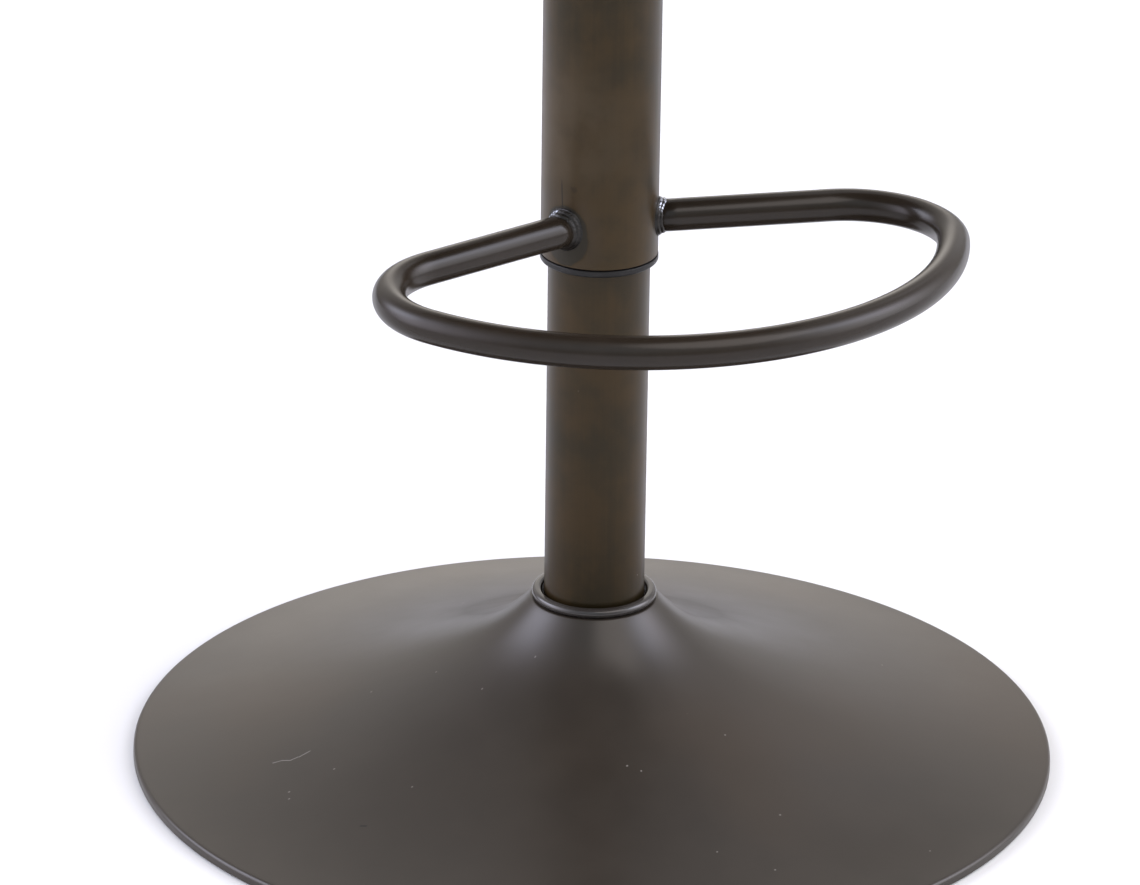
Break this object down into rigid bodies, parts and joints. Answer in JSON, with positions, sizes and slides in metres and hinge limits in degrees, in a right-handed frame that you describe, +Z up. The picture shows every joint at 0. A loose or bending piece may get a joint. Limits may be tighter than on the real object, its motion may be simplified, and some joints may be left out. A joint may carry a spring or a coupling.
{
  "type": "bar stool",
  "caption": "Height-adjustable bar stool with a trumpet base, gas-lift column, D-shaped footrest welded to the sliding sleeve, and a round padded seat.",
  "frame": {"origin": "centre of the floor ring's underside, on the column axis, at floor level", "axes": "+Z up along the column, -Y towards the front bow of the footrest (the sitter's front), +X to the side with the height lever"},
  "size_m": [0.462, 0.462, 0.648],
  "materials": {
    "bronze_base": "satin",
    "bronze_ring": "satin",
    "bronze_column": "satin",
    "bronze_sleeve": "satin",
    "bronze_footrest": "satin",
    "weld_steel": "satin",
    "raw_steel_plate": "matte",
    "cast_ballast": "matte",
    "hub_steel": "satin",
    "zinc_bolts": "satin",
    "black_rubber": "matte",
    "bearing_steel": "polished",
    "brass_cage": "satin",
    "white_acetal": "satin",
    "black_plastic": "satin",
    "bush_plastic": "satin",
    "chrome_rod": "polished",
    "black_cylinder": "satin",
    "pan_paint": "satin",
    "plywood": "matte",
    "dust_fabric": "matte",
    "seat_hide": "satin",
    "lever_paint": "satin",
    "grip_plastic": "satin"
  },
  "bodies": {
    "base": {"base_shell": "bronze_base", "neck_ring": "bronze_ring", "base_plate": "raw_steel_plate", "ballast_disc": "cast_ballast", "hub_socket": "hub_steel", "hub_bolts": "zinc_bolts", "hub_nuts": "zinc_bolts", "floor_ring": "black_rubber", "outer_column": "bronze_column", "column_floor": "hub_steel", "bearing_lower_race": "bearing_steel", "guide_bush": "white_acetal", "column_glide": "black_plastic"},
    "rotor": {"piston_rod": "chrome_rod", "bearing_balls": "bearing_steel", "bearing_cage": "brass_cage", "bearing_upper_race": "bearing_steel", "rod_clip": "zinc_bolts", "clip_washer": "zinc_bolts", "rubber_buffer": "black_rubber", "piston": "bearing_steel"},
    "carriage": {"gas_cylinder": "black_cylinder", "cylinder_gland": "black_plastic", "valve_body": "hub_steel", "taper_socket": "hub_steel", "sleeve_collar": "hub_steel", "sleeve": "bronze_sleeve", "sleeve_bush": "bush_plastic", "footrest": "bronze_footrest", "footrest_welds": "weld_steel", "seat_pan": "pan_paint", "lever_pin": "zinc_bolts", "seat_board": "plywood", "seat_t_nuts": "zinc_bolts", "seat_washers": "zinc_bolts", "seat_bolts": "zinc_bolts", "dust_cover": "dust_fabric", "seat_cushion": "seat_hide"},
    "lever": {"lever_rod": "lever_paint", "lever_grip": "grip_plastic"},
    "button": {"valve_button": "chrome_rod"}
  },
  "joints": [
    {"name": "swivel", "type": "hinge", "parent": "base", "child": "rotor", "pos_m": [0, 0, 0.03], "axis": [0, 0, 1], "continuous": true},
    {"name": "height", "type": "slide", "parent": "rotor", "child": "carriage", "axis": [0, 0, 1], "range_m": [0, 0.2]},
    {"name": "lever", "type": "hinge", "parent": "carriage", "child": "lever", "pos_m": [0.018, 0, 0.564], "axis": [0, -1, 0], "range_deg": [0, 7], "stiffness_Nm_per_rad": 1.5, "springref_deg": -8.59},
    {"name": "valve_press", "type": "slide", "parent": "carriage", "child": "button", "axis": [0, 0, -1], "range_m": [0, 0.0027]}
  ],
  "couplings": [
    {"joint": "valve_press", "follows": "lever", "m_per_rad": 0.022}
  ]
}
